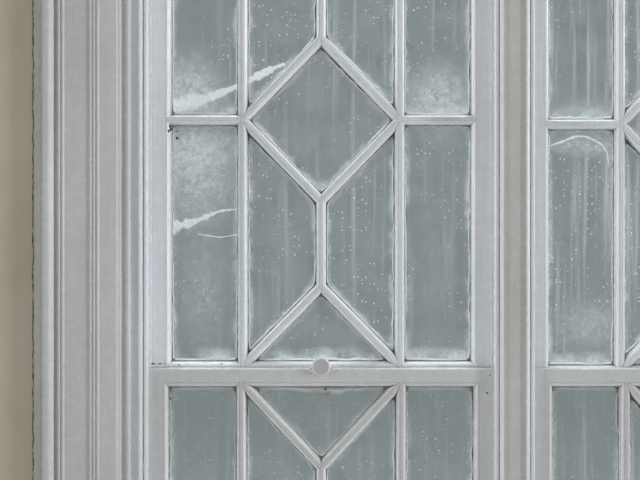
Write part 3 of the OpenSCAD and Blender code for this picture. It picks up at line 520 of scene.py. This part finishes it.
# Old haze is stippled, in grains of 2 to 6 mm.
stipple = add(tree, "TexNoise", {"Vector": place}, Scale=62.0, Detail=8.0, Roughness=0.95, Distortion=0.25)
stipple = add(tree, "MapRange", {0: stipple.outputs["Fac"]}, From_Min=0.36, From_Max=0.62).outputs[0]
patch = add(tree, "Math", {0: haze, 1: stipple}, operation="MULTIPLY").outputs[0]
# Specks come in cells of 8 mm, about half of which have one, and crowd together over 100 mm.
specks = add(tree, "TexVoronoi", {"Vector": place}, Scale=120.0)
chosen = add(tree, "SeparateXYZ", {0: specks.outputs["Color"]}).outputs[0]
wide = add(tree, "MapRange", {0: chosen}, From_Min=0.45, From_Max=1.0, To_Min=0.0, To_Max=0.25).outputs[0]
speck = add(tree, "Math", {0: wide, 1: specks.outputs["Distance"]}, operation="GREATER_THAN").outputs[0]
crowd = add(tree, "TexNoise", {"Vector": place}, Scale=9.0, Detail=3.0).outputs["Fac"]
crowd = add(tree, "MapRange", {0: crowd}, From_Min=0.36, From_Max=0.58, To_Max=0.85).outputs[0]
speck = add(tree, "Math", {0: speck, 1: crowd}, operation="MULTIPLY").outputs[0]
# Rain has driven most against the right-hand lights, and little against the left-hand ones.
drawn = add(tree, "Mapping", {"Vector": place}, Scale=(75.0, 75.0, 2.2)).outputs[0]
rain = add(tree, "TexNoise", {"Vector": drawn}, Scale=1.0, Detail=5.0, Roughness=0.6).outputs["Fac"]
across = add(tree, "SeparateXYZ", {0: place}).outputs[0]
driven = add(tree, "MapRange", {0: across}, From_Min=-0.1, From_Max=0.1, To_Min=0.28, To_Max=0.55).outputs[0]
rain = add(tree, "MapRange", {0: rain, 4: driven}, From_Min=0.50, From_Max=0.74).outputs[0]
opaque = film
for layer in (*layers, patch, speck, rain):
    opaque = add(tree, "Math", {0: opaque, 1: layer}, operation="MAXIMUM").outputs[0]
# No dust lies under the painter's line, within about 4 mm of a bar.
painted = add(tree, "MapRange", {0: near}, From_Min=0.0020, From_Max=0.0045).outputs[0]
opaque = add(tree, "Math", {0: opaque, 1: painted}, operation="MULTIPLY").outputs[0]
opaque = add(tree, "Math", {0: opaque}, operation="MULTIPLY", i1=0.8, use_clamp=True).outputs[0]
# A pane mirrors 4% of what it faces, and more at a slant, as the fifth power of 1 less the cosine.
slant = add(tree, "LayerWeight").outputs["Facing"]
slant = add(tree, "Math", {0: slant}, operation="POWER", i1=5.0).outputs[0]
mirror = add(tree, "MapRange", {0: slant}, To_Min=0.04, To_Max=0.9).outputs[0]
waves = add(tree, "TexNoise", {"Vector": place}, Scale=5.0, Detail=1.0).outputs["Fac"]
ripple = add(tree, "Bump", {"Height": waves}, Strength=0.2, Distance=0.01).outputs[0]
clear = add(tree, "BsdfTransparent", Color=colour("fcfdfd"))
shine = add(tree, "BsdfGlossy", {"Normal": ripple}, Color=colour("f4f6f6"), Roughness=0.04)
clean = add(tree, "MixShader", {0: mirror, 1: clear.outputs[0], 2: shine.outputs[0]})
dust = add(tree, "BsdfPrincipled", Base_Color=colour("e6e9ea"), Roughness=0.8)
lit = add(tree, "BsdfTranslucent", Color=colour("e6e9ea"))
dust = add(tree, "MixShader", {1: dust.outputs[0], 2: lit.outputs[0]}, Fac=0.7)
surface = add(tree, "MixShader", {0: opaque, 1: clean.outputs[0], 2: dust.outputs[0]})
add(tree, "OutputMaterial", {0: surface.outputs[0]})

for light in LIGHTS:
    for kind in KINDS:
        points, faces, values = glass(light, kind)
        name = f"{light}_{kind}_panes"
        build(name, points, faces, dusty, values, smooth=False)
    if light.startswith("front"):
        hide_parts(light + "_upper_glass")
        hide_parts(light + "_lower_glass")
    else:
        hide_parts(light + "_glass")

# Painted edges of the panes

# Paint and putty that ran a few millimetres onto the glass round each pane, with a dark groove between
# them and the bar, of dirt and painted shade. Nobody has scraped them off.

POINT_STEP = 0.005  # between points along a side
GROOVE_MIN, GROOVE_MORE = 0.0003, 0.0022  # the width of the dark groove
BAND_MIN, BAND_MORE, BAND_RAGGED = 0.0017, 0.0028, 0.0012  # the width of the paint beyond it
FOOT_MORE = 0.0018  # the paint lies thickest along the foot of a pane
CREPT, CREPT_MORE = 0.0035, 0.003  # putty has crept out below the rail of a lower sash
CURL_X, CURL_WIDE = 0.006, 0.045  # a loose curl of putty under the middle of the left meeting rail
CORNER_REACH = 0.009  # how far from a corner the paint rounds it
CORNER_LEAST = 0.4  # how much a right-angled or wider corner is rounded, where a sharper one has up to 1
LIFT = np.array([0.0, 0.0007, 0.0003, 0.0009, 0.0])  # how far a strip's five points stand off the glass

ragged_paint, tree, place = new_material("oil_paint_on_glass_edge")
# The ragged rim lets light through where it is thin, so it reads white against the pane; the groove is
# dull and nearly black in places, with dirt and painted shade.
laid = add(tree, "Attribute", attribute_name="paint").outputs["Fac"]
grey_mottle = add(tree, "TexNoise", {"Vector": place}, Scale=90.0, Detail=4.0).outputs["Fac"]
groove = add(tree, "Mix", {0: grey_mottle}, data_type="RGBA", i6=colour("33312e"), i7=colour("8d887f")).outputs[2]
putty = add(tree, "MapRange", {0: laid}, From_Min=1.2, From_Max=1.8).outputs[0]
cream = add(tree, "Mix", {0: putty}, data_type="RGBA", i6=colour("fbfcfc"), i7=colour("cdbf9f")).outputs[2]
covered = add(tree, "MapRange", {0: laid}, From_Min=0.25, From_Max=0.6).outputs[0]
tone = add(tree, "Mix", {0: covered, 6: groove, 7: cream}, data_type="RGBA").outputs[2]
thick = add(tree, "BsdfPrincipled", {"Base Color": tone}, Roughness=0.6)
thin = add(tree, "BsdfTranslucent", {"Color": tone})
through = add(tree, "MapRange", {0: covered}, To_Min=0.1, To_Max=0.85).outputs[0]
surface = add(tree, "MixShader", {0: through, 1: thick.outputs[0], 2: thin.outputs[0]})
add(tree, "OutputMaterial", {0: surface.outputs[0]})


def wobble(draw, count, spacing, step):
    """Smooth random numbers from 0 to 1, count of them, that change over about spacing: random values at
    every spacing, with cosine steps between them."""
    knots = draw.random(int(count * step / spacing) + 4)
    at = np.arange(count) * step / spacing
    low = at.astype(int)
    blend = (1 - np.cos((at - low) * math.pi)) / 2
    return knots[low] * (1 - blend) + knots[low + 1] * blend


def painted_edges(light, kind, draw):
    """Along each side of each pane, a strip with five points across: two just under the bar's edge, the
    bottom of the groove, the crest of the paint and its ragged end. Each is carried along the side. The
    groove is its least plus its more times two wobbles, and the paint its least plus its more times a
    squared wobble plus a random ragged part. Near a corner, e to the power of minus the distance in parts
    of the corner's reach widens an upper sash's groove or a lower sash's paint."""
    depth, middle_z = middle_of(light, kind)
    step = POINT_STEP
    points, faces, paint = [], [], []
    count = 0
    for corners in panes(kind):
        side = np.roll(corners, -1, 0) - corners
        side /= np.linalg.norm(side, axis=1)[:, None]
        # how much each corner is rounded by paint: the cosine of its angle, but never less than the least
        sharp = np.clip(-(side * np.roll(side, 1, 0)).sum(1), CORNER_LEAST, 1)
        for p, q, here, there in zip(corners, np.roll(corners, -1, 0), sharp, np.roll(sharp, -1)):
            length = np.linalg.norm(q - p)
            n = max(6, int(length / step))
            along = (q - p) / length
            inward = np.array([-along[1], along[0]])
            level = abs(inward[0]) < 0.01
            dark = GROOVE_MIN + GROOVE_MORE * wobble(draw, n, 0.05, step) * wobble(draw, n, 0.012, step)
            band = BAND_MIN + BAND_MORE * wobble(draw, n, 0.03, step) ** 2 + BAND_RAGGED * draw.random(n)
            if kind == "upper" and inward[1] > 0.99:
                band += FOOT_MORE
            brown = np.zeros(n)
            if kind == "lower" and level and inward[1] < 0:
                band = band + CREPT + CREPT_MORE * wobble(draw, n, 0.02, step)
                brown = brown + 0.3
            at_rail = (light, kind) == ("front_left", "lower") and abs(p[1] - q[1]) < 1e-6 and p[1] > 0.5
            if at_rail and abs(p[0]) < 0.15:
                u = p[0] + along[0] * np.arange(n) * step
                curl = np.exp(-((u - CURL_X) / CURL_WIDE) ** 2)
                band = band + curl * (0.007 + 0.008 * wobble(draw, n, 0.01, step))
                brown = curl * (0.2 + 0.5 * wobble(draw, n, 0.008, step))
            t = np.linspace(0.0005, length - 0.0005, n)
            # the groove is darkest on the sides that face down or left: painted shade
            dark *= 0.4 if level else 0.5 + max(0.0, -0.6 * inward[0] - 0.8 * inward[1])
            corner = here * np.exp(-t / CORNER_REACH) + there * np.exp(-(length - t) / CORNER_REACH)
            # near a corner an upper sash's groove widens: painted shadow where the bars meet
            if kind == "upper":
                dark += 0.006 * corner
            else:
                band += 0.009 * corner
                brown += 0.3 * corner
            bare = np.zeros(n)
            # the first two points lie 1.2 and 0.4 mm under the bar, and the crest past half of the band
            across = np.stack([bare - 0.0012, bare - 0.0004, dark, dark + 0.55 * band, dark + band], 1)
            flat = p + along * t[:, None, None] + inward * across[..., None]
            out = depth + GLASS_IN - np.tile(LIFT, (n, 1)) + 0.0001
            points.append(at_light(light, flat[..., 0], out, middle_z + flat[..., 1]).reshape(-1, 3))
            paint.append(np.stack([bare + 0.3, bare + 0.3, bare, 1 + brown, 1 + brown], 1).ravel())
            i = count + 5 * np.arange(n - 1)
            for k in range(5):
                m = (k + 1) % 5
                faces += np.stack([i + k, i + m, i + m + 5, i + k + 5], -1).tolist()
            faces.append([count + k for k in (4, 3, 2, 1, 0)])
            faces.append([count + 5 * (n - 1) + k for k in range(5)])
            count += 5 * n
    return np.concatenate(points), faces, {"paint": np.concatenate(paint)}


draw = np.random.default_rng(7)
for light in LIGHTS:
    for kind in KINDS:
        points, faces, values = painted_edges(light, kind, draw)
        build(f"{light}_{kind}_painted_edges", points, faces, ragged_paint, values)

# Cobwebs

# Old cobwebs, grey with dust, hang outdoors across the bars of the front lights, and husks of flies have
# stuck to the mouldings indoors. Dark spots like husks at the feet of the upper stiles are painted shadow.

WEBS = {
    # points along the middle of a web: distance along the light, up from the glass's middle, half its width
    "front_left_cobweb_1": [(-0.3200, 0.0270, 0.023), (-0.2800, 0.0370, 0.016), (-0.2447, 0.0470, 0.0095),
                            (-0.1794, 0.0728, 0.0055), (-0.1246, 0.1002, 0.0100), (-0.0762, 0.1233, 0.0030)],
    "front_left_cobweb_2": [(-0.3200, -0.2250, 0.014), (-0.2763, -0.2157, 0.009), (-0.2447, -0.2031, 0.006),
                            (-0.2173, -0.1904, 0.0028), (-0.1700, -0.1850, 0.0015)],
    "front_left_cobweb_3": [(-0.2600, -0.2390, 0.0010), (-0.2131, -0.2462, 0.0013),
                            (-0.1700, -0.2390, 0.0010)],
    "front_right_cobweb": [(-0.3180, -0.0575, 0.0012), (-0.2934, -0.0472, 0.0018), (-0.2745, -0.0430, 0.0022),
                           (-0.2618, -0.0336, 0.0030), (-0.2324, -0.0304, 0.0022), (-0.2113, -0.0409, 0.0024),
                           (-0.1945, -0.0493, 0.0022), (-0.1850, -0.0683, 0.0014),
                           (-0.1800, -0.0999, 0.0008)],
}
WEB_DEPTH = 0.0465  # from the face of the upper sash
WEB_RINGS = 48
WEB_HALF_THICK = 0.0002
WEB_ACROSS = np.array([-1.0, -0.6, 0.0, 0.6, 1.0, 0.6, 0.0, -0.6])  # the eight points of a ring
WEB_BACK = np.array([0.0, 1.0, 1.0, 1.0, 0.0, -1.0, -1.0, -1.0])
WEB_RUN, WEB_SPREAD = 22, 420  # patches of thread to a metre, along a web and across it

webbing, tree, place = new_material("cobweb_dusty")
# A dusty web is a soft white veil with brighter threads along it, thin enough to let light through.
along, across, ends = (
    add(tree, "Attribute", attribute_name=key).outputs["Fac"] for key in ("along", "across", "veil")
)
spun = add(tree, "CombineXYZ", {0: along, 1: across}).outputs[0]
threads = add(tree, "TexNoise", {"Vector": spun}, Scale=1.0, Detail=6.0, Roughness=0.65).outputs["Fac"]
veil = add(tree, "MapRange", {0: threads}, From_Min=0.32, From_Max=0.60, To_Min=0.62, To_Max=1.0).outputs[0]
veil = add(tree, "Math", {0: veil, 1: ends}, operation="MULTIPLY").outputs[0]
silk = add(tree, "BsdfDiffuse", Color=colour("f6f5f6"))
lit = add(tree, "BsdfTranslucent", Color=colour("f6f5f6"))
silk = add(tree, "MixShader", {1: silk.outputs[0], 2: lit.outputs[0]}, Fac=0.75)
clear = add(tree, "BsdfTransparent")
surface = add(tree, "MixShader", {0: veil, 1: clear.outputs[0], 2: silk.outputs[0]})
add(tree, "OutputMaterial", {0: surface.outputs[0]})


def web(light, points, draw):
    """A web as a flat closed tube: eight points round it, from one edge over the back to the other and home.
    Its height is the mean over nine rings, and each ring stands square to the line through the middles. Its
    edges are ragged: half its width is multiplied by 0.6 to 1.5, and changes over about 6 mm. The veil is
    1.15 less the cube of the share of that half width, kept between 0.15 and 1."""
    path = np.array(points)
    reach = np.concatenate([[0], np.cumsum(np.linalg.norm(np.diff(path[:, :2], axis=0), axis=1))])
    at = np.linspace(0, reach[-1], WEB_RINGS)
    u, v, half = (np.interp(at, reach, path[:, k]) for k in range(3))
    half = half * (0.6 + 0.9 * wobble(draw, WEB_RINGS, 0.006, reach[-1] / (WEB_RINGS - 1)))
    soft = np.convolve(np.pad(v, 4, mode="edge"), np.ones(9) / 9, mode="valid")
    slope = np.stack([np.gradient(u), np.gradient(soft)], -1)
    slope /= np.linalg.norm(slope, axis=1)[:, None]
    offset = half[:, None] * WEB_ACROSS
    out = KINDS["upper"][0] + WEB_DEPTH + WEB_BACK * WEB_HALF_THICK
    up = KINDS["upper"][1] + soft[:, None] + slope[:, :1] * offset
    rings = at_light(light, u[:, None] - slope[:, 1:] * offset, out, up)
    i = np.arange(WEB_RINGS - 1)[:, None] * 8
    k = np.arange(8)
    m = (k + 1) % 8
    faces = np.stack([i + k, i + m, i + m + 8, i + k + 8], -1).reshape(-1, 4).tolist()
    faces += [list(range(7, -1, -1)), list(range((WEB_RINGS - 1) * 8, WEB_RINGS * 8))]
    veil = np.tile(np.clip(1.15 - np.abs(WEB_ACROSS) ** 3, 0.15, 1), (WEB_RINGS, 1))
    return rings, faces, {"along": np.repeat(at * WEB_RUN, 8), "across": offset * WEB_SPREAD, "veil": veil}


draw = np.random.default_rng(11)
for name, points in WEBS.items():
    rings, faces, values = web(name.partition("_cobweb")[0], points, draw)
    build(name, rings, faces, webbing, values)

husk_and_shadow_finish, tree, place = new_material("fly_husk_dry_and_painted_shadow")
# Dry husks are dull brown-black, mottled with web; the same dark makes the painted shadow spots.
mottle = add(tree, "TexNoise", {"Vector": place}, Scale=900.0, Detail=3.0).outputs["Fac"]
tone = add(tree, "Mix", {0: mottle}, data_type="RGBA", i6=colour("2b2622"), i7=colour("7c7468")).outputs[2]
surface = add(tree, "BsdfPrincipled", {"Base Color": tone}, Roughness=0.85)
add(tree, "OutputMaterial", {0: surface.outputs[0]})

HUSKS_AND_SHADOW_SPOTS = np.array([
    # distance along the left front light, up from the middle of the upper glass, half width, half height, and
    # depth behind the upper sash's face
    (-0.3175, -0.0132, 0.0040, 0.0036, 0.0052), (-0.3154, -0.0195, 0.0042, 0.0042, 0.0075),
    (-0.3190, -0.0240, 0.0034, 0.0036, 0.0035), (-0.3102, -0.0069, 0.0026, 0.0017, 0.0270),
    (-0.3039, -0.0226, 0.0026, 0.0016, 0.0270), (-0.3028, -0.0373, 0.0034, 0.0028, 0.0270),
    # Rows 0.51 m down with no depth behind the face are painted shadow at the feet of the upper stiles.
    (-0.3509, -0.5095, 0.0055, 0.0016, 0.0000), (-0.3363, -0.5095, 0.0040, 0.0014, 0.0000),
    (-0.2961, -0.5117, 0.0016, 0.0012, 0.0015), (-0.2083, -0.5096, 0.0018, 0.0012, 0.0028),
    (-0.3258, -0.5090, 0.0016, 0.0014, 0.0000), (0.3563, -0.5095, 0.0018, 0.0014, 0.0000),
    (0.0089, -0.5598, 0.0030, 0.0022, -0.0275), (-0.3124, -0.5790, 0.0022, 0.0030, -0.0275),
    (0.3401, -0.5653, 0.0022, 0.0018, -0.0540), (0.3462, -0.5284, 0.0018, 0.0013, -0.0540),
])
HUSK_HALF_THICK = 0.0016
BELTS = 7  # of points round a husk, between its two ends
ROUND = 12  # points in a belt

# A ball of belts with a point at each end, stretched to each husk's size. The sine of a belt's tilt is its
# radius, and the cosine how far it stands to the back.
tilt = np.linspace(0, math.pi, BELTS + 2)[1:-1, None]
turn = np.linspace(0, 2 * math.pi, ROUND, endpoint=False)
belts = np.stack([np.sin(tilt) * np.cos(turn), np.cos(tilt) + 0 * turn, np.sin(tilt) * np.sin(turn)], -1)
ball = np.concatenate([belts.reshape(-1, 3), [[0, 1, 0], [0, -1, 0]]])
back, front, last = BELTS * ROUND, BELTS * ROUND + 1, (BELTS - 1) * ROUND
i = np.arange(BELTS - 1)[:, None] * ROUND
k = np.arange(ROUND)
m = (k + 1) % ROUND
skin = np.stack([i + k, i + m, i + m + ROUND, i + k + ROUND], -1).reshape(-1, 4).tolist()
skin += [[back, (j + 1) % ROUND, j] for j in range(ROUND)]
skin += [[front, last + j, last + (j + 1) % ROUND] for j in range(ROUND)]
u, v, wide, high, behind = HUSKS_AND_SHADOW_SPOTS.T[..., None]
depth, middle_z = middle_of("front_left", "upper")
points = at_light("front_left", u + ball[:, 0] * wide, depth + behind + ball[:, 1] * HUSK_HALF_THICK,
                  middle_z + v + ball[:, 2] * high)
faces = [[len(ball) * j + corner for corner in face] for j in range(len(HUSKS_AND_SHADOW_SPOTS)) for face in skin]
build("front_left_fly_husks_and_shadow_spots", points, faces, husk_and_shadow_finish)

# Fasteners

# A screw in each pair of meeting rails, cast iron with a round dished knob. It holds the two sashes
# together, and has been painted over with them.

iron, tree, place = new_material("painted_iron_with_shaded_face")
# The knob's rim is white and glossy; its face is dull, painted grey and mottled: painted shade.
normal = add(tree, "NewGeometry").outputs["Normal"]
facing = add(tree, "SeparateXYZ", {0: normal}).outputs
front_shade = add(tree, "MapRange", {0: facing[1]}, From_Min=-0.55, From_Max=-0.9).outputs[0]
finger = add(tree, "TexNoise", {"Vector": place}, Scale=180.0, Detail=4.0).outputs["Fac"]
grey_mottle = add(tree, "Mix", {0: finger}, data_type="RGBA", i6=colour("bdbcba"), i7=colour("cecdcb")).outputs[2]
tone = add(tree, "Mix", {0: front_shade, 7: grey_mottle}, data_type="RGBA", i6=colour("f3f4f5")).outputs[2]
dull = add(tree, "MapRange", {0: front_shade}, To_Min=0.22, To_Max=0.5).outputs[0]
surface = add(tree, "BsdfPrincipled", {"Base Color": tone, "Roughness": dull})
add(tree, "OutputMaterial", {0: surface.outputs[0]})
dress(iron, *[light + "_fastener" for light in LIGHTS])

# Floor, light and camera

# A plain pale floor before a grey backdrop. The light is plain and soft, stronger from outdoors and above
# than from the room, as it falls on a window. The camera stands 3.2 m from the lower sash and looks level.

FLOOR_REACH = 9.0
FLOOR_POINTS = 96
BACKDROP = colour("7a8384")
FROM_SKY = (0.91, 0.96, 1.0)
FROM_ROOM = (0.98, 0.99, 1.0)
AIM = Vector((-0.4, 0.3, 1.8))  # the point that every lamp is turned to
LAMPS = {
    # where each soft lamp stands, its watts, and the side of its square
    "sky_above": ((-0.4, 2.55, 7.36), 455.0, 3.0),
    "sky_right": ((4.1, 2.9, 3.7), 98.0, 2.4),
    "sky_left": ((-4.9, 2.9, 3.7), 113.0, 2.4),
    "room_right": ((4.7, -1.55, 2.6), 220.0, 2.4),
    "room_left": ((-5.3, -2.0, 2.6), 165.0, 2.4),
}

matt, tree, place = new_material("pale_floor")
# It is matt, and far from the window it fades into the backdrop where the camera sees it.
far = add(tree, "VectorMath", {0: place}, operation="LENGTH").outputs["Value"]
fade = add(tree, "MapRange", {0: far}, From_Min=4.5, From_Max=8.5, interpolation_type="SMOOTHSTEP").outputs[0]
seen = add(tree, "LightPath").outputs["Is Camera Ray"]
fade = add(tree, "Math", {0: fade, 1: seen}, operation="MULTIPLY").outputs[0]
pale = add(tree, "BsdfPrincipled", Base_Color=colour("b4b6b6"), Roughness=0.9)
glow = add(tree, "Emission", Color=BACKDROP)
surface = add(tree, "MixShader", {0: fade, 1: pale.outputs[0], 2: glow.outputs[0]})
add(tree, "OutputMaterial", {0: surface.outputs[0]})
turn = np.linspace(0, 2 * math.pi, FLOOR_POINTS, endpoint=False)
edge = np.stack([FLOOR_REACH * np.cos(turn), FLOOR_REACH * np.sin(turn), 0 * turn], -1)
disc = bpy.data.meshes.new("floor")
disc.from_pydata(edge.tolist(), [], [list(range(FLOOR_POINTS))])
disc.materials.append(matt)
floor = bpy.data.objects.new("floor", disc)
bpy.context.scene.collection.objects.link(floor)

world = bpy.data.worlds.new("soft_light")
bpy.context.scene.world = world
world.use_nodes = True
tree = world.node_tree
tree.nodes.clear()
ray = add(tree, "TexCoord").outputs["Generated"]
way = add(tree, "SeparateXYZ", {0: ray}).outputs
outward = add(
    tree, "MapRange", {0: way[1]}, From_Min=-0.3, From_Max=0.2, interpolation_type="SMOOTHSTEP",
).outputs[0]
tint = add(
    tree, "Mix", {0: outward}, data_type="RGBA", i6=(0.99, 0.99, 0.99, 1), i7=(0.93, 0.97, 1.03, 1),
).outputs[2]
soft = add(tree, "Background", {"Color": tint}, Strength=0.30)
backdrop = add(tree, "Background", Color=BACKDROP, Strength=1.0)
path = add(tree, "LightPath").outputs
seen = path["Is Camera Ray"]
for kind in ("Is Glossy Ray", "Is Transmission Ray"):
    seen = add(tree, "Math", {0: seen, 1: path[kind]}, operation="MAXIMUM").outputs[0]
both = add(tree, "MixShader", {0: seen, 1: soft.outputs[0], 2: backdrop.outputs[0]})
add(tree, "OutputWorld", {0: both.outputs[0]})

for name, (spot, watts, side) in LAMPS.items():
    lamp = bpy.data.lights.new(name, "AREA")
    lamp.energy = watts
    lamp.size = side
    lamp.color = FROM_SKY if name.startswith("sky") else FROM_ROOM
    holder = bpy.data.objects.new(name, lamp)
    holder.location = spot
    holder.rotation_mode = "QUATERNION"
    holder.rotation_quaternion = (AIM - Vector(spot)).to_track_quat("-Z", "Y")
    bpy.context.scene.collection.objects.link(holder)

lens = bpy.data.cameras.new("camera")
lens.lens = 87.75
lens.sensor_width = 36.0
lens.clip_end = 100.0
camera = bpy.data.objects.new("camera", lens)
camera.location = (-0.3975, FACE + 0.020 - 3.2, 2.012)
camera.rotation_euler = (math.radians(90), 0.0, 0.0)
bpy.context.scene.collection.objects.link(camera)
bpy.context.scene.camera = camera
bpy.context.scene.view_settings.view_transform = "Standard"
